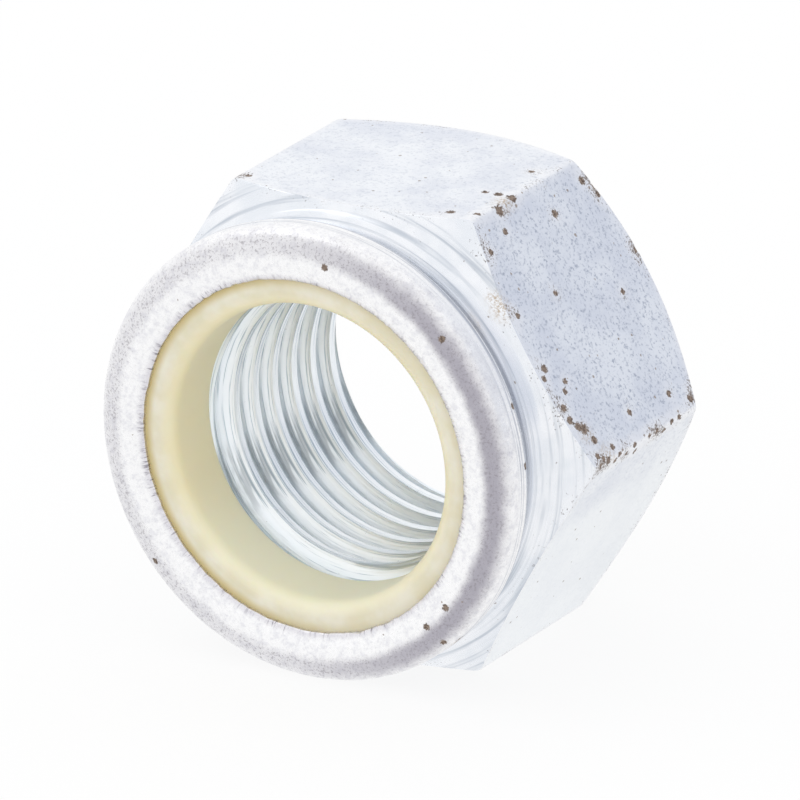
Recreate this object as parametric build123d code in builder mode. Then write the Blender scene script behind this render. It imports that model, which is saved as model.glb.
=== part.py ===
from build123d import *
from math import cos, radians, sin, tan
import os

# Prevailing torque hexagon nut M22 x 2.5 with a nylon insert, lying on one of its flats.
# The nut's axis runs along Y: the bearing face looks to +Y and the crimped collar to -Y.
# Heights are measured along the axis, up from the bearing face.

# Driving dimensions, in millimetres and degrees
across_flats = 32.0
nut_height = 23.7
edge_round = 0.5

bearing_radius = 15.1
bearing_chamfer_angle = 40.0
collar_corner_height = 16.3
collar_chamfer_angle = 27.0

neck_radius = 15.1
cone_end_radius = 15.5
neck_top_height = 20.9
collar_radius = 15.9
shoulder_height = 22.4
shoulder_round = 1.0
shoulder_turn = 60.0
crown_round = 3.25
lip_inner_radius = 12.35
lip_thickness = 0.9

minor_radius = 9.81
countersink_radius = 11.8
lead_in_radius = 11.3
ledge_height = 17.95

insert_outer_radius = 14.2
insert_inner_radius = 10.36
insert_swell = 0.7
insert_front_bevel = 0.8
lip_gap = 0.05

# Sizes that follow from them
axis_height = across_flats / 2
corner_radius = across_flats / 2 / cos(radians(30))
bearing_corner_height = (corner_radius - bearing_radius) * tan(radians(bearing_chamfer_angle))
cone_end_height = collar_corner_height + (corner_radius - cone_end_radius) * tan(radians(collar_chamfer_angle))
neck_mid_height = (cone_end_height + neck_top_height) / 2
shoulder_centre = (collar_radius - shoulder_round, shoulder_height)
lean = radians(shoulder_turn)
shoulder_end = (
    shoulder_centre[0] + shoulder_round * cos(lean),
    shoulder_centre[1] + shoulder_round * sin(lean),
)
crown_centre = (
    shoulder_end[0] - crown_round * cos(lean),
    shoulder_end[1] - crown_round * sin(lean),
)
lip_edge_height = crown_centre[1] + (crown_round**2 - (lip_inner_radius - crown_centre[0]) ** 2) ** 0.5
insert_shoulder_height = lip_edge_height - lip_thickness
insert_front_height = insert_shoulder_height + insert_swell
countersink_depth = countersink_radius - minor_radius
lead_in_height = ledge_height - lead_in_radius + minor_radius

nut_axis = Axis((0, 0, axis_height), (0, 1, 0))
# Looking along the nut from its bearing face, and the half section beside its axis
face_plane = Plane(origin=(0, nut_height / 2, axis_height), x_dir=(1, 0, 0), z_dir=(0, -1, 0))
section_plane = Plane(origin=(0, nut_height / 2, axis_height), x_dir=(1, 0, 0), z_dir=(0, 0, -1))

os.makedirs("parts", exist_ok=True)

# The steel body: a hexagon bar, turned outside with a chamfer at each end and a thin collar
# rolled in at the top, then bored to the crest of its thread with a recess for the ring
with BuildPart() as nut_body:
    with BuildSketch(face_plane):
        RegularPolygon(radius=across_flats / 2, side_count=6, major_radius=False)
    extrude(amount=nut_height)
    fillet(nut_body.edges().filter_by(Axis.Y), radius=edge_round)
    with BuildSketch(section_plane):
        with BuildLine():
            Polyline(
                (0, nut_height),
                (0, 0),
                (bearing_radius, 0),
                (corner_radius, bearing_corner_height),
                (corner_radius, collar_corner_height),
                (cone_end_radius, cone_end_height),
            )
            neck = ThreePointArc(
                (cone_end_radius, cone_end_height),
                (neck_radius, neck_mid_height),
                (collar_radius, neck_top_height),
            )
            Line(neck @ 1, (collar_radius, shoulder_height))
            CenterArc(shoulder_centre, shoulder_round, 0, shoulder_turn)
            crown = CenterArc(crown_centre, crown_round, shoulder_turn, 90 - shoulder_turn)
            Line(crown @ 1, (0, nut_height))
        make_face()
    revolve(axis=nut_axis, mode=Mode.INTERSECT)
    with BuildSketch(section_plane):
        with BuildLine():
            Polyline(
                (0, 0),
                (countersink_radius, 0),
                (minor_radius, countersink_depth),
                (minor_radius, lead_in_height),
                (lead_in_radius, ledge_height),
                (insert_outer_radius, ledge_height),
                (insert_outer_radius, insert_shoulder_height),
                (lip_inner_radius, insert_shoulder_height),
                (lip_inner_radius, nut_height),
                (0, nut_height),
                close=True,
            )
        make_face()
    revolve(axis=nut_axis, mode=Mode.SUBTRACT)
nut_body.part.label = "nut_body"
export_step(nut_body.part, "parts/nut_body.step")

# The nylon ring: its shoulder sits under the lip, and its front swells up inside the lip's edge
with BuildPart() as nylon_insert:
    with BuildSketch(section_plane):
        with BuildLine():
            Polyline(
                (insert_inner_radius, insert_front_height),
                (insert_inner_radius, ledge_height),
                (insert_outer_radius, ledge_height),
                (insert_outer_radius, insert_shoulder_height),
                (lip_inner_radius - lip_gap, insert_shoulder_height),
                (lip_inner_radius - lip_gap, insert_front_height),
                close=True,
            )
        make_face()
        chamfer(vertices().sort_by(Axis.X)[:2].sort_by(Axis.Y)[-1], length=insert_front_bevel)
    revolve(axis=nut_axis)
nylon_insert.part.label = "nylon_insert"
export_step(nylon_insert.part, "parts/nylon_insert.step")
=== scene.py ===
import bmesh
import bpy
import math
from functools import partial
from mathutils import Matrix, Vector, noise
from mathutils.kdtree import KDTree


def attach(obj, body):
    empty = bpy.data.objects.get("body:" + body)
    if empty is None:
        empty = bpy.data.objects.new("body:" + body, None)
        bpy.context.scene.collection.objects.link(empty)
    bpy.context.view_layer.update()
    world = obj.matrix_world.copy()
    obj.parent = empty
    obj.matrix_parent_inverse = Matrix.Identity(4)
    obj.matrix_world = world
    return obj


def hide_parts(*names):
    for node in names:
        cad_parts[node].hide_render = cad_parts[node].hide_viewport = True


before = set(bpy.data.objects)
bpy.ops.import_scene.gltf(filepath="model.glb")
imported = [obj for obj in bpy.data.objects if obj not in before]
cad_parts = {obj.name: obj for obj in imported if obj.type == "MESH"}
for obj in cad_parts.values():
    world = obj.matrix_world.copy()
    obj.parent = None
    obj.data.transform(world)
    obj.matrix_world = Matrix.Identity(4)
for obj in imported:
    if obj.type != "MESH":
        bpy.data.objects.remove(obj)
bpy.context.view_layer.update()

millimetre = 0.001
axisHeight = 16.0  # the nut's axis over the floor, in mm
bearingSide = 11.85  # where the bearing face stands on the Y axis, in mm
inMillimetres = (1000, 1000, 1000)
fullTurn = 2 * math.pi
halfSixth = math.pi / 6  # from a corner of the hexagon to the middle of a flat

# Kinds and settings of nodes that come often
maths, mapRange, mixer = "ShaderNodeMath", "ShaderNodeMapRange", "ShaderNodeMix"
noiseTexture, vectorMaths = "ShaderNodeTexNoise", "ShaderNodeVectorMath"
combine, separate = "ShaderNodeCombineXYZ", "ShaderNodeSeparateXYZ"
named, sampleIndex = "GeometryNodeInputNamedAttribute", "GeometryNodeSampleIndex"
smooth = {"interpolation_type": "SMOOTHSTEP"}
inColour = {"data_type": "RGBA"}
multiply, subtract, divide = ({"operation": name} for name in ("MULTIPLY", "SUBTRACT", "DIVIDE"))


def hexColour(code):
    # sRGB hex to the linear values that the shaders take
    channels = [int(code[i:i + 2], 16) / 255 for i in (1, 3, 5)]
    return [c / 12.92 if c <= 0.04045 else ((c + 0.055) / 1.055) ** 2.4 for c in channels] + [1.0]


def fill(node, inputs):
    # Inputs come in the order of the sockets in use, or by name; a node stands for its first output in use
    if isinstance(inputs, dict):
        pairs = [(node.inputs[name], value) for name, value in inputs.items()]
    else:
        pairs = zip([socket for socket in node.inputs if socket.enabled], inputs)
    for socket, value in pairs:
        if isinstance(value, bpy.types.Node):
            value = next(output for output in value.outputs if output.enabled)
        if isinstance(value, bpy.types.NodeSocket):
            node.id_data.links.new(value, socket)
        elif isinstance(value, str) and value.startswith("#"):
            socket.default_value = hexColour(value)
        else:
            socket.default_value = value


def addNode(tree, kind, inputs=(), **settings):
    node = tree.nodes.new(kind)
    for name, value in settings.items():
        setattr(node, name, value)
    fill(node, inputs)
    return node


def newMaterial(name):
    # The material, and addNode bound to its tree
    material = bpy.data.materials.new(name)
    material.use_nodes = True
    return material, partial(addNode, material.node_tree)


# Camera: a long lens, looking down on the collar from its upper right
view = {
    "yaw": 30.87,
    "elevation": 20.20,
    "roll": -1.06,
    "pixelsPerMm": 14.975,
    "distance": 1000.0,
    "aimAlong": -4.45,  # on the axis, in mm
    "aimSide": 2.898,
    "aimRise": 1.643,
    "sensor": 36,
    "pictureWidth": 800,
}


def addCamera():
    yaw, tilt, roll = (math.radians(view[key]) for key in ("yaw", "elevation", "roll"))
    level = math.cos(tilt)
    forward = Vector((-math.sin(yaw) * level, math.cos(yaw) * level, -math.sin(tilt)))
    side = Vector((math.cos(yaw), math.sin(yaw), 0))
    rise = side.cross(forward)
    right = side * math.cos(roll) + rise * math.sin(roll)
    up = rise * math.cos(roll) - side * math.sin(roll)
    aim = Vector((0, view["aimAlong"], axisHeight)) + right * view["aimSide"] + up * view["aimRise"]
    place = (aim - forward * view["distance"]) * millimetre
    turned = Matrix((right, up, -forward)).transposed().to_4x4()
    camera = bpy.data.objects.new("camera", bpy.data.cameras.new("camera"))
    bpy.context.collection.objects.link(camera)
    camera.matrix_world = Matrix.Translation(place) @ turned
    camera.data.sensor_width = view["sensor"]
    camera.data.lens = view["pixelsPerMm"] * view["distance"] * view["sensor"] / view["pictureWidth"]
    camera.data.clip_start = 0.05
    camera.data.clip_end = 20
    bpy.context.scene.camera = camera


addCamera()
print("camera set")

# Floor, backdrop and light
studio = {
    "floorSize": 3.0,
    "floorColour": "#FCFCFC",
    "glow": 0.85,  # how far the camera sees the floor as plain white
    "tentStrength": 1.03,
    "tentShade": "#E2E5EC",
    "shadeFrom": (0.75, 0.6, -0.25),
    "shadeSpread": (0.1, 0.85),
    "boxSize": 0.35,
    "boxPower": 0.15,
    "boxPlace": (-0.35, -0.15, 0.55),
}


def addFloor():
    half = studio["floorSize"] / 2
    corners = [(-half, -half, 0), (half, -half, 0), (half, half, 0), (-half, half, 0)]
    mesh = bpy.data.meshes.new("floor")
    mesh.from_pydata(corners, [], [(0, 1, 2, 3)])
    floor = bpy.data.objects.new("floor", mesh)
    bpy.context.collection.objects.link(floor)
    material, add = newMaterial("paperFloor")
    material.node_tree.nodes.clear()
    rays = add("ShaderNodeLightPath").outputs
    seen = add(maths, [rays["Is Camera Ray"], studio["glow"]], **multiply)
    part = add(maths, [seen, rays["Is Glossy Ray"]], operation="MAXIMUM")
    paper = add("ShaderNodeBsdfDiffuse", [studio["floorColour"]])
    glow = add("ShaderNodeEmission", ["#FFFFFF", 1.0])
    both = add("ShaderNodeMixShader", [part, paper, glow])
    add("ShaderNodeOutputMaterial", [both])
    mesh.materials.append(material)


def addTent():
    # A white tent, a little greyer and bluer low down behind and to the right
    world = bpy.data.worlds.new("tent")
    bpy.context.scene.world = world
    world.use_nodes = True
    world.node_tree.nodes.clear()
    add = partial(addNode, world.node_tree)
    way = add("ShaderNodeTexCoord").outputs["Generated"]
    shadeFrom = Vector(studio["shadeFrom"]).normalized()
    facing = add(vectorMaths, [way, shadeFrom], operation="DOT_PRODUCT")
    share = add(mapRange, [facing, *studio["shadeSpread"]], **smooth)
    colour = add(mixer, [share, "#FFFFFF", studio["tentShade"]], **inColour)
    soft = add("ShaderNodeBackground", [colour, studio["tentStrength"]])
    white = add("ShaderNodeBackground", ["#FFFFFF", 1.0])
    rays = add("ShaderNodeLightPath").outputs
    both = add("ShaderNodeMixShader", [rays["Is Camera Ray"], soft, white])
    add("ShaderNodeOutputWorld", [both])


def addSoftbox():
    lamp = bpy.data.lights.new("softbox", "AREA")
    lamp.size = studio["boxSize"]
    lamp.energy = studio["boxPower"]
    box = bpy.data.objects.new("softbox", lamp)
    bpy.context.collection.objects.link(box)
    box.location = studio["boxPlace"]
    towards = Vector((0, 0, axisHeight * millimetre)) - Vector(box.location)
    box.rotation_euler = towards.to_track_quat("-Z", "Y").to_euler()


bpy.context.scene.view_settings.view_transform = "Standard"
addFloor()
addTent()
addSoftbox()
print("studio set")

# The steel body. Sizes in mm and degrees, the same ones that the solids are made from
nutSizes = {
    "acrossFlats": 32.0,
    "edgeRound": 0.5,
    "bearingRadius": 15.1,
    "bearingAngle": 40.0,
    "cornerHeight": 16.3,
    "coneAngle": 27.0,
    "coneEndRadius": 15.5,
    "neckRadius": 15.1,
    "neckTop": 20.9,
    "collarRadius": 15.9,
    "shoulderHeight": 22.4,
    "shoulderRound": 1.0,
    "shoulderTurn": 60.0,
    "crownRound": 3.25,
    "lipRadius": 12.35,
    "lipThickness": 0.9,
    "recessRadius": 14.2,
    "ledgeHeight": 17.95,
    "leadInRadius": 11.3,
    "countersinkRadius": 11.8,
    "minorRadius": 9.81,
    "majorRadius": 11.0,
    "pitch": 2.5,
    "threadAngle": 60.0,
    "crestPhase": 1.726,  # height of a thread crest's middle on the +X side
    "stepsAround": 384,  # a multiple of six, so that a step falls on every corner
    "crowding": 0.45,  # how far the steps crowd towards the corners
    "raggedDepth": 0.2,  # how far the lip's edge is torn
    "raggedWidth": 0.28,
    "wobble": 0.06,  # how uneven the rolled collar is
}
# How many rows of the section each face gets
nutRows = {"bearingFace": 6, "bearingCone": 8, "flats": 43, "collarCone": 9, "neck": 13, "wall": 7,
           "shoulder": 7, "crown": 26, "lip": 4, "recess": 2, "ledge": 3}
zoneFixed, zoneBearingCone, zoneFlats, zoneCollarCone, zoneBore = range(5)
finishTurned, finishFlats, finishCollar, finishThread = range(4)


def along(start, end, shares):
    return [tuple(s + (e - s) * share for s, e in zip(start, end)) for share in shares]


def spread(start, end, count, first=1):
    # Evenly spaced points from start to end, with the start left out unless first is 0
    return along(start, end, [i / count for i in range(first, count + 1)])


def arc(centre, radius, startDegrees, endDegrees, count):
    span = endDegrees - startDegrees
    turns = [math.radians(startDegrees + span * i / count) for i in range(1, count + 1)]
    return [(centre[0] + radius * math.cos(turn), centre[1] + radius * math.sin(turn)) for turn in turns]


def cornerOf(sizes):
    return sizes["acrossFlats"] / 2 / math.cos(math.radians(30))


def crownCentre(sizes):
    # The crown's arc carries on from the end of the shoulder's, so it lies on the same line
    inward, lean = sizes["shoulderRound"] - sizes["crownRound"], math.radians(sizes["shoulderTurn"])
    start = sizes["collarRadius"] - sizes["shoulderRound"]
    return start + inward * math.cos(lean), sizes["shoulderHeight"] + inward * math.sin(lean)


def crestHalf(sizes):
    flank = (sizes["majorRadius"] - sizes["minorRadius"]) * math.tan(math.radians(sizes["threadAngle"] / 2))
    return (sizes["pitch"] - sizes["pitch"] / 8) / 2 - flank


def threadRows(sizes):
    # The bore's rows run along the thread, so each is a height on the +X side, some of them past the ends
    pitch, crest = sizes["pitch"], crestHalf(sizes)
    root = pitch / 2 - pitch / 16
    flank = [crest + (root - crest) * f for f in (0.07, 0.5, 0.93)]
    offsets = [-f for f in reversed(flank)] + [-crest, -crest / 3, crest / 3, crest] + flank
    offsets += [root, pitch / 2, pitch - root]
    softness = [0, 0, 0.4, 0.6, 0, 0, 0.6, 0.4, 0, 0, 0, 0, 0]
    turns = range(-2, int(sizes["ledgeHeight"] / pitch) + 2)
    starts = [sizes["crestPhase"] + turn * pitch for turn in turns]
    helix = [(start + offset, soft) for start in starts for offset, soft in zip(offsets, softness)]
    return [(0, height, zoneBore, finishThread, soft, 0) for height, soft in sorted(helix, reverse=True)]


def sectionRows(sizes):
    # Radius, height, zone, finish, softness and raggedness of each row, from the bearing face round
    corner = cornerOf(sizes)
    bearing, coneEnd, wall = sizes["bearingRadius"], sizes["coneEndRadius"], sizes["collarRadius"]
    lip, recess, ledge = sizes["lipRadius"], sizes["recessRadius"], sizes["ledgeHeight"]
    bearingTop = (corner - bearing) * math.tan(math.radians(sizes["bearingAngle"]))
    coneTop = sizes["cornerHeight"] + (corner - coneEnd) * math.tan(math.radians(sizes["coneAngle"]))
    shoulder = (wall - sizes["shoulderRound"], sizes["shoulderHeight"])
    crown = crownCentre(sizes)
    lipTurn = math.degrees(math.acos((lip - crown[0]) / sizes["crownRound"]))
    lipHeight = crown[1] + sizes["crownRound"] * math.sin(math.radians(lipTurn))
    underLip = lipHeight - sizes["lipThickness"]
    rows = []

    def addRows(zone, finish, points, soft=(), ragged=()):
        # Softness and raggedness are given for places counted from the start, or from the end if negative
        for number, (radius, height) in enumerate(points):
            place = number if number < len(points) / 2 else number - len(points)
            rows.append((radius, height, zone, finish, dict(soft).get(place, 0), dict(ragged).get(place, 0)))

    # Rows stand closer together by the edges, which the softness rounds
    face = spread((sizes["countersinkRadius"], 0), (bearing - 0.1, 0), nutRows["bearingFace"], 0)
    addRows(zoneFixed, finishTurned, face)
    count = nutRows["bearingCone"]
    share = [0, 0.03] + [i / count for i in range(1, count)] + [0.97, 0.99, 1]
    cone = along((bearing, 0), (corner, bearingTop), share)
    addRows(zoneBearingCone, finishTurned, cone, {0: 0.5, 1: 0.3, -2: 0.3, -1: 0.6})
    count = nutRows["flats"]
    share = [0.004, 0.012] + [0.025 + 0.95 * i / (count - 1) for i in range(count)] + [0.988, 0.996]
    addRows(zoneFlats, finishFlats, [(s, 0) for s in share], {0: 0.6, 1: 0.3, -2: 0.3, -1: 0.6})
    count = nutRows["collarCone"]
    share = [0, 0.02, 0.05] + [i / count for i in range(1, count)] + [0.95, 1]
    cone = along((corner, sizes["cornerHeight"]), (coneEnd, coneTop), share)
    addRows(zoneCollarCone, finishTurned, cone, {0: 0.6, 1: 0.3, -1: 0.5, -2: 0.3})
    waist = (coneEnd + wall) / 2 - sizes["neckRadius"]
    share = [i / nutRows["neck"] for i in range(1, nutRows["neck"] + 1)]
    straight = along((coneEnd, coneTop), (wall, sizes["neckTop"]), share)
    neck = [(radius - 4 * waist * t * (1 - t), height) for (radius, height), t in zip(straight, share)]
    addRows(zoneFixed, finishTurned, neck, {0: 0.4, -1: 0.6})
    upright = spread((wall, sizes["neckTop"]), (wall, shoulder[1]), nutRows["wall"])
    addRows(zoneFixed, finishCollar, upright, {0: 0.5})
    bend = arc(shoulder, sizes["shoulderRound"], 0, sizes["shoulderTurn"], nutRows["shoulder"])
    addRows(zoneFixed, finishCollar, bend)
    rolled = arc(crown, sizes["crownRound"], sizes["shoulderTurn"], lipTurn, nutRows["crown"])
    addRows(zoneFixed, finishCollar, rolled, {-1: 0.4}, {-1: 1, -2: 0.45, -3: 0.15})
    edge = spread((lip, lipHeight), (lip, underLip), nutRows["lip"])
    addRows(zoneFixed, finishCollar, edge, {0: 0.4}, {0: 1, 1: 0.9, -2: 0.6})
    addRows(zoneFixed, finishTurned, spread((lip, underLip), (recess, underLip), nutRows["recess"]))
    addRows(zoneFixed, finishTurned, spread((recess, underLip), (recess, ledge), nutRows["recess"]))
    inward = spread((recess, ledge), (sizes["leadInRadius"], ledge), nutRows["ledge"])
    addRows(zoneFixed, finishTurned, inward)
    return rows + threadRows(sizes)


def sectionObject(name, rows):
    # The section's rows as points, with what the tree needs of each as an attribute
    mesh = bpy.data.meshes.new(name)
    mesh.from_pydata([(row[0], row[1], 0) for row in rows], [], [])
    columns = (("zone", "INT", 2), ("finish", "FLOAT", 3), ("soft", "FLOAT", 4), ("ragged", "FLOAT", 5))
    for label, kind, column in columns:
        attribute = mesh.attributes.new(label, kind, "POINT")
        attribute.data.foreach_set("value", [row[column] for row in rows])
    piece = bpy.data.objects.new(name, mesh)
    bpy.context.collection.objects.link(piece)
    return piece


# Names of the tree's inputs, and the size that each one takes
treeInputs = {
    "Across Flats": "acrossFlats", "Edge Round": "edgeRound", "Bearing Radius": "bearingRadius",
    "Cone End Radius": "coneEndRadius", "Bearing Slope": "bearingAngle", "Cone Slope": "coneAngle",
    "Corner Height": "cornerHeight", "Ledge Height": "ledgeHeight", "Lead In Radius": "leadInRadius",
    "Countersink Radius": "countersinkRadius", "Minor Radius": "minorRadius", "Major Radius": "majorRadius",
    "Pitch": "pitch", "Crest Phase": "crestPhase", "Crowding": "crowding", "Ragged Depth": "raggedDepth",
    "Ragged Width": "raggedWidth", "Wobble": "wobble", "Steps Around": "stepsAround",
}


def newTree(name):
    tree = bpy.data.node_groups.new(name, "GeometryNodeTree")
    tree.interface.new_socket("Geometry", in_out="INPUT", socket_type="NodeSocketGeometry")
    for label in treeInputs:
        kind = "NodeSocketInt" if label == "Steps Around" else "NodeSocketFloat"
        tree.interface.new_socket(label, in_out="INPUT", socket_type=kind)
    tree.interface.new_socket("Geometry", in_out="OUTPUT", socket_type="NodeSocketGeometry")
    return tree, addNode(tree, "NodeGroupInput").outputs


def hexReach(add, given, angle):
    # How far out the hexagon reaches at this angle, with its rounded corners, and the sharp corner's radius
    edgeRound = given["Edge Round"]
    corner = add(maths, [angle, halfSixth], operation="PINGPONG")
    apothem = add(maths, [given["Across Flats"], 2], **divide)
    cornerRadius = add(maths, [apothem, math.cos(halfSixth)], **divide)
    fromMiddle = add(maths, [halfSixth, corner], **subtract)
    foreshort = add(maths, [fromMiddle], operation="COSINE")
    flatReach = add(maths, [apothem, foreshort], **divide)
    inner = add(maths, [apothem, edgeRound], **subtract)
    roundPlace = add(maths, [inner, math.cos(halfSixth)], **divide)
    endSide = add(maths, [edgeRound, 0.5], **multiply)
    endOut = add(maths, [edgeRound, math.cos(halfSixth)], **multiply)
    endReach = add(maths, [roundPlace, endOut])
    roundEnd = add(maths, [endSide, endReach], operation="ARCTAN2")
    sine = add(maths, [corner], operation="SINE")
    cosine = add(maths, [corner], operation="COSINE")
    offLine = add(maths, [roundPlace, sine], **multiply)
    roundSquare = add(maths, [edgeRound, 2], operation="POWER")
    offSquare = add(maths, [offLine, 2], operation="POWER")
    square = add(maths, [roundSquare, offSquare], **subtract)
    least = add(maths, [square, 0], operation="MAXIMUM")
    chord = add(maths, [least], operation="SQRT")
    onLine = add(maths, [roundPlace, cosine], **multiply)
    roundReach = add(maths, [onLine, chord])
    onRound = add(maths, [corner, roundEnd], operation="LESS_THAN")
    reach = add("GeometryNodeSwitch", [onRound, flatReach, roundReach], input_type="FLOAT")
    return reach, cornerRadius


def hexSection(add, given, section, reach, cornerRadius):
    # Both cones are scaled from the corner to where they meet the flats, and the flats run between them
    bearing, coneEnd = given["Bearing Radius"], given["Cone End Radius"]
    cornerHeight = given["Corner Height"]
    slopes = []
    for label in ("Bearing Slope", "Cone Slope"):
        turn = add(maths, [given[label]], operation="RADIANS")
        slopes.append(add(maths, [turn], operation="TANGENT"))
    bearingOver = add(maths, [reach, bearing], **subtract)
    bearingSpan = add(maths, [cornerRadius, bearing], **subtract)
    bearingShare = add(maths, [bearingOver, bearingSpan], **divide)
    bearingEdge = add(maths, [bearingOver, slopes[0]], **multiply)
    bearingStep = add(maths, [section["X"], bearing], **subtract)
    bearingOut = add(maths, [bearingStep, bearingShare], **multiply)
    bearingR = add(maths, [bearing, bearingOut])
    bearingH = add(maths, [section["Y"], bearingShare], **multiply)

    collarOver = add(maths, [reach, coneEnd], **subtract)
    collarSpan = add(maths, [cornerRadius, coneEnd], **subtract)
    collarShare = add(maths, [collarOver, collarSpan], **divide)
    short = add(maths, [cornerRadius, reach], **subtract)
    shortRise = add(maths, [short, slopes[1]], **multiply)
    collarEdge = add(maths, [cornerHeight, shortRise])
    wholeRise = add(maths, [collarSpan, slopes[1]], **multiply)
    coneTop = add(maths, [cornerHeight, wholeRise])
    collarStep = add(maths, [section["X"], coneEnd], **subtract)
    collarOut = add(maths, [collarStep, collarShare], **multiply)
    collarR = add(maths, [coneEnd, collarOut])
    below = add(maths, [coneTop, section["Y"]], **subtract)
    drop = add(maths, [below, collarShare], **multiply)
    collarH = add(maths, [coneTop, drop], **subtract)

    flatSpan = add(maths, [collarEdge, bearingEdge], **subtract)
    flatRise = add(maths, [flatSpan, section["X"]], **multiply)
    flatsH = add(maths, [bearingEdge, flatRise])
    return (bearingR, reach, collarR), (bearingH, flatsH, collarH)


def boreSection(add, given, sizes, section, angle):
    # The bore's rows climb with the thread and stop at the bearing face and at the ledge
    turns = add(maths, [angle, fullTurn], **divide)
    climb = add(maths, [given["Pitch"], turns], **multiply)
    climbed = add(maths, [section["Y"], climb])
    overFace = add(maths, [climbed, 0], operation="MAXIMUM")
    height = add(maths, [overFace, given["Ledge Height"]], operation="MINIMUM")
    unturned = add(maths, [height, climb], **subtract)
    phase = add(maths, [unturned, given["Crest Phase"]], **subtract)
    halfPitch = add(maths, [given["Pitch"], 2], **divide)
    fromCrest = add(maths, [phase, halfPitch], operation="PINGPONG")
    past = add(maths, [fromCrest, crestHalf(sizes)], **subtract)
    flankSlope = math.tan(math.radians(sizes["threadAngle"] / 2))
    rise = add(maths, [past, flankSlope], **divide)
    groove = add(maths, [rise, 0], operation="MAXIMUM")
    deep = add(maths, [given["Minor Radius"], groove])
    threadR = add(maths, [deep, given["Major Radius"]], operation="MINIMUM")
    countersinkR = add(maths, [given["Countersink Radius"], height], **subtract)
    under = add(maths, [given["Ledge Height"], height], **subtract)
    leadInR = add(maths, [given["Lead In Radius"], under], **subtract)
    wider = add(maths, [threadR, countersinkR], operation="MAXIMUM")
    return add(maths, [wider, leadInR], operation="MAXIMUM"), height


def unevenness(add, given, sizes, sampled, cosine, sine):
    # The lip's edge is torn in fine steps, and the rolled collar is a little uneven
    circle = add(combine, [cosine, sine, 0.0])
    tearScale = add(maths, [sizes["lipRadius"], given["Ragged Width"]], **divide)
    torn = add(noiseTexture, [circle, tearScale, 2.0])
    centred = add(maths, [torn, 0.5], **subtract)
    deep = add(maths, [centred, given["Ragged Depth"]], **multiply)
    doubled = add(maths, [sampled["ragged"], 2], **multiply)
    tear = add(maths, [deep, doubled], **multiply)
    uneven = add(noiseTexture, [circle, 2.5, 3.0])
    isCollar = add(maths, [sampled["finish"], float(finishCollar), 0.1], operation="COMPARE")
    onCollar = add(maths, [isCollar, given["Wobble"]], **multiply)
    inward = add(maths, [uneven, 0.6], **subtract)
    swell = add(maths, [inward, onCollar], **multiply)
    return tear, swell


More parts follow.
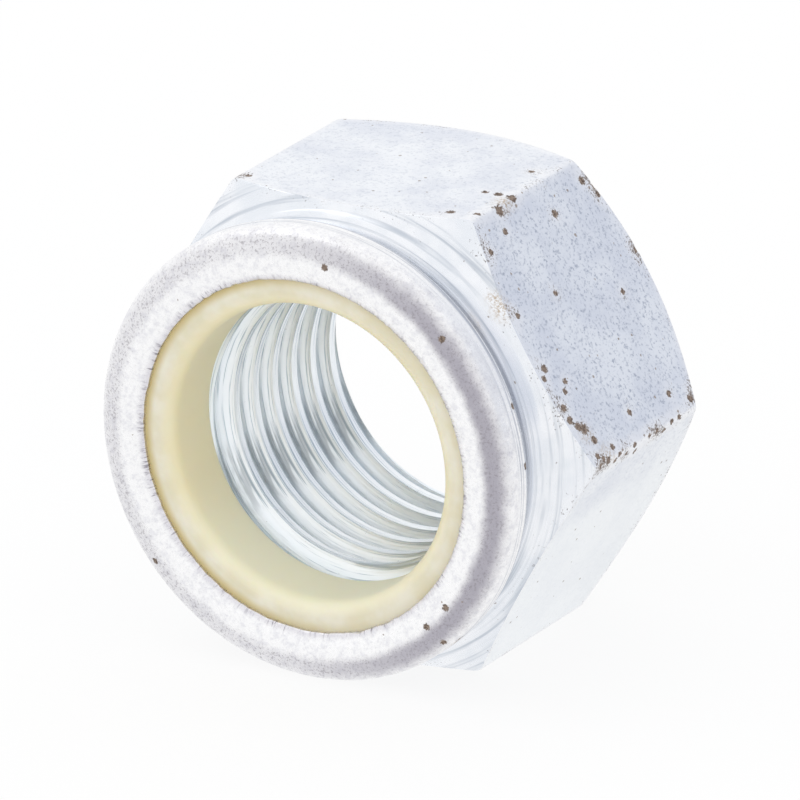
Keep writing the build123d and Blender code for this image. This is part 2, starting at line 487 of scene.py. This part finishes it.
def nutTree(sizes, finishes):
    # Wraps the section's rows round the axis, and cuts the hexagon and the thread into them
    tree, given = newTree("turnedHexagon")
    add = partial(addNode, tree)
    rowCount = add("GeometryNodeAttributeDomainSize", [given["Geometry"]], component="MESH")
    around = add(maths, [given["Steps Around"], 1])
    grid = add("GeometryNodeMeshGrid", [1.0, 1.0, rowCount, around])
    index = add("GeometryNodeInputIndex")
    inside = add(maths, [index, 0.5])
    rowShare = add(maths, [inside, around], **divide)
    row = add(maths, [rowShare], operation="FLOOR")
    rowStart = add(maths, [row, around], **multiply)
    step = add(maths, [index, rowStart], **subtract)
    place = add("GeometryNodeInputPosition")
    point = add(sampleIndex, [given["Geometry"], place, row], data_type="FLOAT_VECTOR")
    section = add(separate, [point]).outputs
    sampled = {}
    for label, kind in (("zone", "INT"), ("finish", "FLOAT"), ("soft", "FLOAT"), ("ragged", "FLOAT")):
        value = add(named, [label], data_type=kind)
        sampled[label] = add(sampleIndex, [given["Geometry"], value, row], data_type=kind)

    # Angle round the axis, with steps crowded towards the corners
    turnShare = add(maths, [step, given["Steps Around"]], **divide)
    even = add(maths, [turnShare, fullTurn], **multiply)
    sixfold = add(maths, [even, 6], **multiply)
    wave = add(maths, [sixfold], operation="SINE")
    crowd = add(maths, [given["Crowding"], 6], **divide)
    lean = add(maths, [wave, crowd], **multiply)
    angle = add(maths, [even, lean], **subtract)
    cosine = add(maths, [angle], operation="COSINE")
    sine = add(maths, [angle], operation="SINE")

    reach, cornerRadius = hexReach(add, given, angle)
    radii, heights = hexSection(add, given, section, reach, cornerRadius)
    boreR, boreH = boreSection(add, given, sizes, section, angle)
    chosen = []
    for first, values in ((section["X"], (*radii, boreR)), (section["Y"], (*heights, boreH))):
        chooser = add("GeometryNodeIndexSwitch", data_type="FLOAT")
        while len(chooser.index_switch_items) < zoneBore + 1:
            chooser.index_switch_items.new()
        fill(chooser, [sampled["zone"], first, *values])
        chosen.append(chooser)

    tear, swell = unevenness(add, given, sizes, sampled, cosine, sine)
    tornR = add(maths, [chosen[0], tear])
    finalR = add(maths, [tornR, swell])
    x = add(maths, [finalR, cosine], **multiply)
    y = add(maths, [bearingSide, chosen[1]], **subtract)
    up = add(maths, [finalR, sine], **multiply)
    z = add(maths, [axisHeight, up])
    upright = add(combine, [x, y, z])
    metres = add(vectorMaths, [upright, millimetre], operation="SCALE")

    # Each strip of faces takes the finish of its later row
    stripShare = add(maths, [inside, given["Steps Around"]], **divide)
    strip = add(maths, [stripShare], operation="FLOOR")
    later = add(maths, [strip, 1])
    finish = add(named, ["finish"])
    ofStrip = add(sampleIndex, [given["Geometry"], finish, later])
    kept = grid
    for label, value, domain in (("soft", sampled["soft"], "POINT"), ("finish", ofStrip, "FACE")):
        stored = {"Geometry": kept, "Name": label, "Value": value}
        kept = add("GeometryNodeStoreNamedAttribute", stored, domain=domain)
    shaped = add("GeometryNodeSetPosition", {"Geometry": kept, "Position": metres})
    merged = add("GeometryNodeMergeByDistance", {"Geometry": shaped, "Distance": 1e-7})

    # Turned and milled edges are broken by a tenth of a millimetre or so
    soft = add(named, ["soft"])
    blurred = add("GeometryNodeBlurAttribute", [place, 2, soft], data_type="FLOAT_VECTOR")
    eased = add("GeometryNodeSetPosition", {"Geometry": merged, "Position": blurred})
    outward = add("GeometryNodeFlipFaces", {"Mesh": eased})
    rounded = add("GeometryNodeSetShadeSmooth", {"Geometry": outward, "Shade Smooth": True})
    dressed = add("GeometryNodeRealizeInstances", {"Geometry": rounded})
    # A face takes the last material whose number it reaches
    for number, material in enumerate(finishes):
        reached = add(maths, [finish, number - 0.6], operation="GREATER_THAN")
        dressed = add("GeometryNodeSetMaterial", [dressed, reached, material])
    add("NodeGroupOutput", [dressed])
    return tree


def grow(piece, tree, sizes):
    # Runs the tree on the piece with these sizes and keeps the result as a plain mesh
    modifier = piece.modifiers.new(tree.name, "NODES")
    modifier.node_group = tree
    for item in tree.interface.items_tree:
        if item.in_out == "INPUT" and item.name in treeInputs:
            value = sizes[treeInputs[item.name]]
            modifier[item.identifier] = value if item.socket_type == "NodeSocketInt" else float(value)
    bpy.context.view_layer.update()
    evaluated = piece.evaluated_get(bpy.context.evaluated_depsgraph_get())
    mesh = bpy.data.meshes.new_from_object(evaluated)
    piece.modifiers.remove(modifier)
    piece.data = mesh
    return mesh


# The larger chips and dirt specks, with the radius of each size in mm
chipLook = {
    "large": 0.42,
    "middle": 0.32,
    "small": 0.25,
    "reach": 1.7,  # how much wider the ragged rim is
    "depth": 0.09,
    "pitFrom": 0.2,
    "pitGrain": 4000,  # lumps in a pit, a quarter of a millimetre wide
    "refineWithin": 0.7,
    "shortEdge": 0.16,
    "edgeReach": 1.3,
    "edgeWear": 0.7,
    "scatter": 1.5,
    "scatterWear": 0.8,
    "sharpAngle": 28,
}
# On the side, as degrees round the axis and mm above the bearing face: the corner edges are at 0 and 60
sideChips = {
    "large": [(60, 11), (59, 13), (8, 15.5)],
    "middle": [(63, 11), (66, 15.5), (53, 7.5), (54, 2), (56, 3), (2, 3), (0, 14.5), (5, 15), (9, 16),
               (11, 16.5), (14, 16.5), (24, 16.5), (-46, 22)],
    "small": [(66, 11), (64, 6), (61, 15), (53, 16), (55, 13.5), (52, 2), (37, 1), (38, 11.5), (38, 16.5),
              (30, 4.5), (22, 17), (19, 15), (17, 15.5), (6, 10), (5, 5), (2, 13.5), (2, 15.5), (0, 5),
              (0, 6), (0, 8), (0, 9), (0, 11), (0, 13), (0, 15.5), (1, 15), (-1, 7), (-1, 12), (-1, 13.5),
              (-2, 10.5), (118, 15.5), (20, 21), (5, 21)],
}
# On the collar's face, as degrees round the axis and mm from the axis
faceChips = {"small": [(-47, 14), (-47, 15.5), (-38, 14), (-141, 15), (81, 14), (43, 15)]}
# Brown stains on the side, with a radius in mm each
sideStains = [(41, 17.5, 1.1), (44, 17.5, 0.8), (7, 15.5, 1.0), (1, 14.5, 1.2), (60, 12, 1.2),
              (-47, 22, 0.8)]


def onNut(degrees, radius, height):
    turn = math.radians(degrees)
    return Vector((radius * math.cos(turn), bearingSide - height, axisHeight + radius * math.sin(turn)))


def sideSpot(degrees, height, sizes):
    # The point of the flats, the cone or the collar's wall at this turn and height
    flat = sizes["acrossFlats"] / 2 / math.cos(math.radians(degrees % 60 - 30))
    past = height - sizes["cornerHeight"]
    cone = cornerOf(sizes) - past / math.tan(math.radians(sizes["coneAngle"]))
    radius = sizes["collarRadius"] if height > sizes["neckTop"] else min(flat, cone)
    return onNut(degrees, radius, height)


def faceSpot(degrees, radius, sizes):
    # The point of the collar's face at this turn and distance from the axis
    middle, level = crownCentre(sizes)
    return onNut(degrees, radius, level + math.sqrt(sizes["crownRound"] ** 2 - (radius - middle) ** 2))


def edgeNearness(spot, sizes):
    # 1 on the edges of the flats, falling to 0 a little way off; spot is in mm from the bearing face's middle
    x, z, height = spot
    radius, turn = math.hypot(x, z), math.atan2(z, x) % (fullTurn / 6) - halfSixth
    across, sideways = radius * math.cos(turn), abs(radius * math.sin(turn))
    corner = cornerOf(sizes)
    top = sizes["cornerHeight"] + (corner - radius) * math.tan(math.radians(sizes["coneAngle"]))
    bottom = (radius - sizes["bearingRadius"]) * math.tan(math.radians(sizes["bearingAngle"]))
    inward = (sizes["acrossFlats"] / 2 - across) / math.cos(turn)
    away = inward + min(corner / 2 - sideways, abs(height - top), abs(height - bottom))
    return max(0, 1 - away / chipLook["edgeReach"])


def refineNear(work, tree, radii):
    # Finer faces round each mark
    near = [face for face in work.faces
            if any(distance < (chipLook["refineWithin"] + radii[number]) * millimetre
                   for place, number, distance in tree.find_n(face.calc_center_median(), 2))]
    shortest = chipLook["shortEdge"] * millimetre
    edges = {edge for face in near for edge in face.edges if edge.calc_length() > shortest}
    bmesh.ops.subdivide_edges(work, edges=list(edges), cuts=1, use_grid_fill=True)
    work.normal_update()


def chipSurface(mesh, sizes):
    # Pits pressed in at the marks, with attributes for chips, stains and nearness to an edge
    marks = [(place(*spot, sizes), chipLook[size])
             for place, chips in ((sideSpot, sideChips), (faceSpot, faceChips))
             for size, spots in chips.items() for spot in spots]
    stains = [(sideSpot(degrees, height, sizes), radius) for degrees, height, radius in sideStains]
    radii = [radius for spot, radius in marks]
    tree = KDTree(len(marks))
    for number, (spot, radius) in enumerate(marks):
        tree.insert(spot * millimetre, number)
    tree.balance()
    work = bmesh.new()
    work.from_mesh(mesh)
    refineNear(work, tree, radii)
    layers = work.verts.layers.float
    chipLayer, edgeLayer, stainLayer = (layers.new(label) for label in ("chip", "edge", "stain"))
    moves = []
    for vertex in work.verts:
        found = tree.find_n(vertex.co, 4)
        depth = max(0, max(1 - distance / millimetre / (radii[number] * chipLook["reach"])
                           for place, number, distance in found))
        vertex[chipLayer] = depth
        spot = vertex.co / millimetre
        around = max(0, 1 - tree.find(vertex.co)[2] / millimetre / chipLook["scatter"])
        nearness = edgeNearness((spot.x, spot.z - axisHeight, bearingSide - spot.y), sizes)
        vertex[edgeLayer] = chipLook["edgeWear"] * nearness + chipLook["scatterWear"] * around
        vertex[stainLayer] = max(0, max(1 - (spot - stain).length / radius for stain, radius in stains))
        if depth > chipLook["pitFrom"]:
            lump = 0.6 + noise.noise(vertex.co * chipLook["pitGrain"])
            pit = chipLook["depth"] * millimetre * min(1, (depth - chipLook["pitFrom"]) * 2) * lump
            moves.append((vertex, vertex.normal * -pit))
    for vertex, move in moves:
        vertex.co += move
    work.to_mesh(mesh)
    work.free()
    mesh.set_sharp_from_angle(angle=math.radians(chipLook["sharpAngle"]))


# What the zinc looks like. Limits are in mm, along the radius or the axis, from where an effect starts to
# where it is full
steelLook = {
    "flats": ("#E3E7F0", "#F1F4F9"),
    "flatsGrain": "#B4BBC9",
    "flatsPaintedLight": "#FAFDFF",
    "paleEdge": "#FAFAFC",
    "turned": ("#E9EDF3", "#F4F6FA"),
    "toolLines": "#BCC4CF",
    "neckPaintedShade": "#A2A4AC",
    "neckShadeLimits": (-6.6, -8.2),
    "collar": ("#FDFDFE", "#DFDFE7"),
    "faceLimits": (-9.9, -10.5),
    "wallLimits": (-10.4, -9.8),
    "tornEdge": "#CDC9D3",
    "tornLimits": (12.9, 12.4),
    "ticks": "#8F8A94",
    "tickLimits": (12.95, 12.4),
    "band": "#AEABB5",
    "bandInside": (13.8, 14.6),
    "bandOutside": (16.05, 15.0),
    "bandGrain": "#8F8A90",
    "wallLines": "#B3B8C4",
    "thread": ("#F8FCFF", "#F2F9FF"),
    "threadRootShadeLimits": (9.85, 10.9),
    "threadStreaks": "#A6B8C6",
    "darkReflection": "#69747B",
    "darkReflectionDepth": (9.84, 10.15),
    "darkReflectionSide": (-0.857, 0.515),
    "darkReflectionLimits": (0.96, 0.995),
    "warmStain": "#E0D9BC",
    "scale": ("#978679", "#4E3F37"),
    "stain": "#B39A78",
}


def nutPlace(add):
    # Millimetres from the axis, with the radius, the way out from the axis and the angle round it
    source = add("ShaderNodeTexCoord").outputs["Object"]
    centred = {"Vector": source, "Location": (0, 0, -axisHeight), "Scale": inMillimetres}
    place = add("ShaderNodeMapping", centred)
    parts = add(separate, [place]).outputs
    flat = add(combine, [parts["X"], 0.0, parts["Z"]])
    radius = add(vectorMaths, [flat], operation="LENGTH")
    way = add(vectorMaths, [flat], operation="NORMALIZE")
    wayParts = add(separate, [way]).outputs
    angle = add(maths, [parts["Z"], parts["X"]], operation="ARCTAN2")
    return {"place": place, "along": parts["Y"], "radius": radius, "angle": angle,
            "wayX": wayParts["X"], "wayZ": wayParts["Z"]}


def platedMetal(material, add, plate, roughness, relief, reliefDepth, specks, wear):
    # Finishes a zinc material: its plate is broken by chips down to dull scale, by specks and by worn edges
    source = add("ShaderNodeTexCoord").outputs["Object"]
    place = add("ShaderNodeMapping", {"Vector": source, "Scale": inMillimetres})
    ragged = add(noiseTexture, [place, 5.5, 3.0, 0.7])  # about 0.2 mm
    chip, edge, stain = (add("ShaderNodeAttribute", attribute_name=label).outputs["Fac"]
                         for label in ("chip", "edge", "stain"))

    jagged = add(maths, [ragged, 1.1], **multiply)
    depth = add(maths, [chip, jagged])
    chipped = add(mapRange, [depth, 0.88, 1.06], **smooth)

    # Specks of dirt, one at most in each cell of 0.8 mm, and more of them by the edges
    cells = add("ShaderNodeTexVoronoi", [place, 1.3]).outputs
    lot = add("ShaderNodeSeparateColor", [cells["Color"]]).outputs
    byEdge = add(maths, [edge, 0.3], **multiply)
    chance = add(maths, [lot[0], byEdge])
    chosen = add(maths, [chance, 1 - specks], operation="GREATER_THAN")
    squared = add(maths, [lot[1], 2.0], operation="POWER")
    larger = add(maths, [squared, 0.14], **multiply)
    extent = add(maths, [larger, 0.05])
    size = add(maths, [extent, chosen], **multiply)
    over = add(maths, [size, cells["Distance"]], **subtract)
    centred = add(maths, [ragged, 0.5], **subtract)
    rim = add(maths, [centred, 0.3], **multiply)
    inside = add(maths, [over, rim], **subtract)
    speck = add(mapRange, [inside, 0.0, 0.05, 0.0, 0.8], **smooth)

    # Wear along the edges, in clusters a few millimetres long
    lumps = add(noiseTexture, [place, 0.45, 1.0, 0.6])
    cluster = add(mapRange, [lumps, 0.4, 0.62, 0.05, 0.24 * wear], **smooth)
    rubbed = add(maths, [edge, cluster], **multiply)
    thin = add(maths, [ragged, rubbed])
    worn = add(mapRange, [thin, 0.68, 0.8, 0.0, 0.8], **smooth)
    marked = add(maths, [chipped, speck], operation="MAXIMUM")
    damage = add(maths, [marked, worn], operation="MAXIMUM")

    darker = add(mapRange, [ragged, 0.4, 0.7], **smooth)
    scale = add(mixer, [darker, *steelLook["scale"]], **inColour)
    patchy = add(mapRange, [ragged, 0.4, 0.65], **smooth)
    stainShare = add(maths, [stain, patchy], **multiply)
    stained = add(mixer, [stainShare, plate, steelLook["stain"]], **inColour)
    colour = add(mixer, [damage, stained, scale], **inColour)
    rougher = add(maths, [damage, 0.3], **multiply)
    dulled = add(maths, [roughness, rougher])
    bare = add(maths, [damage, 0.75], **multiply)
    metallic = add(maths, [1.0, bare], **subtract)
    deep = reliefDepth * millimetre
    bump = add("ShaderNodeBump", {"Height": relief, "Strength": 1.0, "Distance": deep})
    fill(material.node_tree.nodes["Principled BSDF"],
         {"Base Color": colour, "Roughness": dulled, "Metallic": metallic, "Normal": bump})


def zincPlateFlats():
    # Zinc over cold-drawn flats: satin and blue-white, with a fine pebbled grain
    material, add = newMaterial("zincPlateFlats")
    at = nutPlace(add)
    grain = add(noiseTexture, [at["place"], 3.6, 3.0, 0.75])  # 0.3 mm, coarser than real, to show
    cloud = add(noiseTexture, [at["place"], 0.22, 3.0, 0.6])  # 5 mm
    cloudy = add(mapRange, [cloud, 0.35, 0.65], **smooth)
    tone = add(mixer, [cloudy, *steelLook["flats"]], **inColour)
    # The grain is coarser on the flat between the corners at 0 and 60 degrees
    facing = add(mapRange, [at["wayX"], 0.4, 0.55], **smooth)
    above = add(mapRange, [at["wayZ"], -0.1, 0.1], **smooth)
    coarse = add(maths, [facing, above], **multiply)
    more = add(maths, [coarse, 0.6], **multiply)
    strength = add(maths, [more, 0.35])
    pebbles = add(mapRange, [grain, 0.5, 0.68], **smooth)
    amount = add(maths, [pebbles, strength], **multiply)
    tone = add(mixer, [amount, tone, steelLook["flatsGrain"]], **inColour)
    # Painted light: flats that face downwards are painted paler
    below = add(mapRange, [at["wayZ"], -0.05, -0.4, 0.0, 0.7], **smooth)
    tone = add(mixer, [below, tone, steelLook["flatsPaintedLight"]], **inColour)
    edge = add("ShaderNodeAttribute", attribute_name="edge").outputs["Fac"]
    pale = add(mapRange, [edge, 0.2, 0.9, 0.0, 0.55], **smooth)
    plate = add(mixer, [pale, tone, steelLook["paleEdge"]], **inColour)
    roughness = add(mapRange, [grain, 0.3, 0.7, 0.28, 0.42], **smooth)
    platedMetal(material, add, plate, roughness, relief=grain, reliefDepth=0.04, specks=0.45, wear=1.0)
    return material


def turnedRings(add, at, perMm, detail):
    # Rings round the axis, drawn out along the section and slowly changing round the turn
    down = add(maths, [at["radius"], at["along"]], **subtract)
    scaled = add(maths, [down, perMm], **multiply)
    place = add(combine, [scaled, at["wayX"], at["wayZ"]])
    return add(noiseTexture, [place, 1.0, detail, 0.6])


def zincPlateTurned():
    # Zinc over turned cones, neck and bearing face: smoother, with rings from the turning tool
    material, add = newMaterial("zincPlateTurned")
    at = nutPlace(add)
    rings = turnedRings(add, at, 4.0, 3.0)
    cloud = add(noiseTexture, [at["place"], 0.3, 3.0, 0.6])  # 3 mm
    cloudy = add(mapRange, [cloud, 0.35, 0.65], **smooth)
    tone = add(mixer, [cloudy, *steelLook["turned"]], **inColour)
    drawn = add(mapRange, [rings, 0.5, 0.7, 0.0, 0.85], **smooth)
    lines = add(mixer, [drawn, tone, steelLook["toolLines"]], **inColour)
    # Painted shade in the neck's hollow, darker on the +X side and streaked along the tool rings
    neck = add(mapRange, [at["along"], *steelLook["neckShadeLimits"]], **smooth)
    side = add(mapRange, [at["wayX"], -0.3, 0.75, 0.2, 0.95], **smooth)
    inNeck = add(maths, [neck, side], **multiply)
    streaky = add(mapRange, [rings, 0.3, 0.6], **smooth)
    paintedNeckShade = add(maths, [inNeck, streaky], **multiply)
    plate = add(mixer, [paintedNeckShade, lines, steelLook["neckPaintedShade"]], **inColour)
    roughness = add(mapRange, [rings, 0.3, 0.7, 0.2, 0.34], **smooth)
    platedMetal(material, add, plate, roughness, relief=rings, reliefDepth=0.012, specks=0.05, wear=0.65)
    return material


def zincPlateRolled():
    # Zinc over the rolled collar: dulled and mottled, with a greyer band where the roller bore, made darker
    # on one side by painted shade
    material, add = newMaterial("zincPlateRolled")
    at = nutPlace(add)
    mottle = add(noiseTexture, [at["place"], 2.0, 4.0, 0.7])  # half a millimetre
    blotches = add(mapRange, [mottle, 0.45, 0.66], **smooth)
    onFace = add(mapRange, [at["along"], *steelLook["faceLimits"]], **smooth)
    weak = add(maths, [onFace, 0.45], **multiply)
    dulled = add(maths, [blotches, weak], **multiply)
    tone = add(mixer, [dulled, *steelLook["collar"]], **inColour)

    # The torn inner edge, with short marks drawn across it
    torn = add(mapRange, [at["radius"], *steelLook["tornLimits"], 0.0, 0.5], **smooth)
    tone = add(mixer, [torn, tone, steelLook["tornEdge"]], **inColour)
    acrossTicks = add(maths, [at["angle"], 60.0], **multiply)  # about 0.2 mm wide
    alongTicks = add(maths, [at["radius"], 0.9], **multiply)
    tickPlace = add(combine, [acrossTicks, alongTicks, 0.0])
    ticks = add(noiseTexture, [tickPlace, 1.0, 3.0, 0.7])
    lots = add(noiseTexture, [at["place"], 0.4, 2.0, 0.6])
    patchy = add(mapRange, [lots, 0.4, 0.6, 0.35, 1.0], **smooth)
    nearLip = add(mapRange, [at["radius"], *steelLook["tickLimits"]], **smooth)
    sharp = add(mapRange, [ticks, 0.5, 0.66], **smooth)
    drawn = add(maths, [nearLip, sharp], **multiply)
    marks = add(maths, [drawn, patchy], **multiply)
    tone = add(mixer, [marks, tone, steelLook["ticks"]], **inColour)

    # Where the roller bore: a grainy grey band on the shoulder, with painted shade that makes it darker
    # towards the +X side
    wander = add(noiseTexture, [at["place"], 0.6, 3.0, 0.6])
    centred = add(maths, [wander, 0.5], **subtract)
    shift = add(maths, [centred, 0.6], **multiply)
    reach = add(maths, [at["radius"], shift])
    inner = add(mapRange, [reach, *steelLook["bandInside"]], **smooth)
    outer = add(mapRange, [reach, *steelLook["bandOutside"]], **smooth)
    band = add(maths, [inner, outer], **multiply)
    # Painted shade: the band is weighted darker towards +X
    side = add(mapRange, [at["wayX"], -0.3, 0.8, 0.28, 0.95], **smooth)
    bandFace = add(maths, [band, onFace], **multiply)
    bandAndShade = add(maths, [bandFace, side], **multiply)
    tone = add(mixer, [bandAndShade, tone, steelLook["band"]], **inColour)
    grain = add(noiseTexture, [at["place"], 6.0, 2.0, 0.7])
    inBand = add(maths, [band, 0.45], **multiply)
    strength = add(maths, [inBand, 0.1])
    dots = add(mapRange, [grain, 0.5, 0.68], **smooth)
    grainy = add(maths, [strength, dots], **multiply)
    tone = add(mixer, [grainy, tone, steelLook["bandGrain"]], **inColour)

    # Lines round the wall
    rings = turnedRings(add, at, 3.5, 2.0)
    onWall = add(mapRange, [at["along"], *steelLook["wallLimits"]], **smooth)
    lines = add(mapRange, [rings, 0.42, 0.66, 0.0, 0.9], **smooth)
    wallLines = add(maths, [onWall, lines], **multiply)
    plate = add(mixer, [wallLines, tone, steelLook["wallLines"]], **inColour)
    roughness = add(mapRange, [mottle, 0.35, 0.65, 0.26, 0.46], **smooth)
    platedMetal(material, add, plate, roughness, relief=mottle, reliefDepth=0.05, specks=0.06, wear=0.2)
    return material


def zincPlateThread():
    # Zinc over the tapped thread: glossy, drawn out in long streaks, with painted dark reflections low on one
    # side
    material, add = newMaterial("zincPlateThread")
    at = nutPlace(add)
    pitch = nutSizes["pitch"]
    climb = add(maths, [at["angle"], pitch / fullTurn], **multiply)
    climbed = add(maths, [at["along"], climb])
    phase = add(maths, [climbed, pitch, 0.0], operation="WRAP")
    fine = add(maths, [phase, 10.0], **multiply)  # streaks about 0.1 mm wide
    streakPlace = add(combine, [fine, at["wayX"], at["wayZ"]])
    streaks = add(noiseTexture, [streakPlace, 1.0, 3.0, 0.7])
    # Painted shade: the tone is a little darker towards the thread's roots
    deep = add(mapRange, [at["radius"], *steelLook["threadRootShadeLimits"]], **smooth)
    tone = add(mixer, [deep, *steelLook["thread"]], **inColour)
    drawn = add(mapRange, [streaks, 0.54, 0.61, 0.0, 0.7], **smooth)
    tone = add(mixer, [drawn, tone, steelLook["threadStreaks"]], **inColour)

    # Painted reflection: dark patches on the flanks, one a turn, low on the -X side
    blotchParts = [add(maths, [value, factor], **multiply)
                   for value, factor in ((phase, 6.0), (at["wayX"], 4.0), (at["wayZ"], 4.0))]
    blotchPlace = add(combine, blotchParts)
    blotch = add(noiseTexture, [blotchPlace, 1.0, 2.0, 0.6])
    sideX = add(maths, [at["wayX"], steelLook["darkReflectionSide"][0]], **multiply)
    sideZ = add(maths, [at["wayZ"], steelLook["darkReflectionSide"][1]], **multiply)
    towards = add(maths, [sideX, sideZ], **subtract)
    there = add(mapRange, [towards, *steelLook["darkReflectionLimits"]], **smooth)
    offCrest = add(mapRange, [at["radius"], *steelLook["darkReflectionDepth"]], **smooth)
    patch = add(maths, [there, offCrest], **multiply)
    patchy = add(mapRange, [blotch, 0.35, 0.6, 0.05, 0.45], **smooth)
    darkReflection = add(maths, [patch, patchy], **multiply)
    tone = add(mixer, [darkReflection, tone, steelLook["darkReflection"]], **inColour)

    # A warm stain low on the +X side
    warmX = add(mapRange, [at["wayX"], 0.0, 0.6], **smooth)
    warmZ = add(mapRange, [at["wayZ"], 0.0, -0.5], **smooth)
    low = add(maths, [warmX, warmZ], **multiply)
    streaky = add(mapRange, [streaks, 0.45, 0.6, 0.1, 0.6], **smooth)
    warm = add(maths, [low, streaky], **multiply)
    plate = add(mixer, [warm, tone, steelLook["warmStain"]], **inColour)
    roughness = add(mapRange, [streaks, 0.3, 0.7, 0.3, 0.45], **smooth)
    platedMetal(material, add, plate, roughness, relief=streaks, reliefDepth=0.03, specks=0.0, wear=0.2)
    return material


nutBody = sectionObject("nutBody", sectionRows(nutSizes))
nutFinishes = [zincPlateTurned(), zincPlateFlats(), zincPlateRolled(), zincPlateThread()]
mesh = grow(nutBody, nutTree(nutSizes, nutFinishes), nutSizes)
chipSurface(mesh, nutSizes)
print("nut body", len(mesh.vertices), "points", sum(len(p.vertices) - 2 for p in mesh.polygons), "triangles")
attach(nutBody, "root")
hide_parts("nut_body")

# The nylon ring, moulded, with a rounded front that swells up inside the lip
ringSizes = {
    "outerRadius": 14.2,
    "innerRadius": 10.36,
    "backHeight": 17.95,
    "shoulderHeight": 22.47,
    "frontHeight": 23.17,
    "swellRadius": 12.42,
    "frontRound": 1.25,
    "rimRound": 0.05,
    "backRound": 0.35,
    "stepsAround": 240,
    "sharpAngle": 40,
}
# Its tones, and where along the radius the bore and the amber rim start and are full
ringLook = {
    "body": ("#E9E4D2", "#E0D9BE"),
    "borePaintedLight": ("#F4EAC4", "#FBF6DA"),
    "borePaintedLightLimits": (11.5, 10.3),
    "rim": "#CFB877",
    "rimShadeLimits": (11.6, 12.3),
    "roughness": 0.38,
    "ior": 1.53,
    "seeThrough": 0.3,
    "seeThroughRadius": (1.0, 0.7, 0.35),
    "seeThroughDepth": 1.5,
}


def ringRows(sizes):
    front, back, step = sizes["frontHeight"], sizes["backHeight"], sizes["shoulderHeight"]
    inner, outer, swell = sizes["innerRadius"], sizes["outerRadius"], sizes["swellRadius"]
    rim, nose, heel = sizes["rimRound"], sizes["frontRound"], sizes["backRound"]
    points = spread((outer, back), (outer, step), 3, 0)
    points += spread((outer, step), (swell, step), 3)
    points += spread((swell, step), (swell, front - rim), 2)
    points += arc((swell - rim, front - rim), rim, 0, 90, 6)
    points += spread((swell - rim, front), (inner + nose, front), 5)
    points += arc((inner + nose, front - nose), nose, 90, 180, 12)
    points += spread((inner, front - nose), (inner, back + heel), 12)
    points += arc((inner + heel, back + heel), heel, 180, 270, 5)
    points += spread((inner + heel, back), (outer, back), 3)
    return [(radius, height, zoneFixed, finishTurned, 0, 0) for radius, height in points]


def naturalNylon():
    # Undyed polyamide: ivory, waxy and a little see-through, with painted light that makes the bore yellower
    # and brighter, and an amber painted shade against the lip
    material, add = newMaterial("naturalNylon")
    at = nutPlace(add)
    cloud = add(noiseTexture, [at["place"], 0.35, 3.0, 0.6])  # 3 mm
    cloudy = add(mapRange, [cloud, 0.35, 0.65], **smooth)
    body = add(mixer, [cloudy, *ringLook["body"]], **inColour)
    # Painted light: the bore is painted yellower and brighter, and paler again low down
    borePaintedLight = add(mapRange, [at["radius"], *ringLook["borePaintedLightLimits"]], **smooth)
    low = add(mapRange, [at["wayZ"], -0.3, -0.9], **smooth)
    borePaintedLightTone = add(mixer, [low, *ringLook["borePaintedLight"]], **inColour)
    body = add(mixer, [borePaintedLight, body, borePaintedLightTone], **inColour)
    # Painted shade: an amber band against the lip, strongest on the -X side
    side = add(mapRange, [at["wayX"], 0.5, -0.6, 0.25, 0.9], **smooth)
    nearLip = add(mapRange, [at["radius"], *ringLook["rimShadeLimits"]], **smooth)
    rim = add(maths, [nearLip, side], **multiply)
    colour = add(mixer, [rim, body, ringLook["rim"]], **inColour)
    # Faint rings left by the mould
    spaced = add(maths, [at["radius"], 3.0], **multiply)
    ringPlace = add(combine, [spaced, at["wayX"], at["wayZ"]])
    rings = add(noiseTexture, [ringPlace, 1.0, 3.0, 0.6])
    bump = add("ShaderNodeBump", {"Height": rings, "Strength": 1.0, "Distance": 0.03 * millimetre})
    fill(material.node_tree.nodes["Principled BSDF"], {
        "Base Color": colour,
        "Roughness": ringLook["roughness"],
        "IOR": ringLook["ior"],
        "Subsurface Weight": ringLook["seeThrough"],
        "Subsurface Radius": ringLook["seeThroughRadius"],
        "Subsurface Scale": ringLook["seeThroughDepth"] * millimetre,
        "Normal": bump,
    })
    return material


nylonRing = sectionObject("nylonRing", ringRows(ringSizes))
turnSizes = {**nutSizes, "stepsAround": ringSizes["stepsAround"], "wobble": 0}
mesh = grow(nylonRing, nutTree(turnSizes, [naturalNylon()]), turnSizes)
mesh.set_sharp_from_angle(angle=math.radians(ringSizes["sharpAngle"]))
print("nylon ring", len(mesh.vertices), "points")
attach(nylonRing, "root")
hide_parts("nylon_insert")
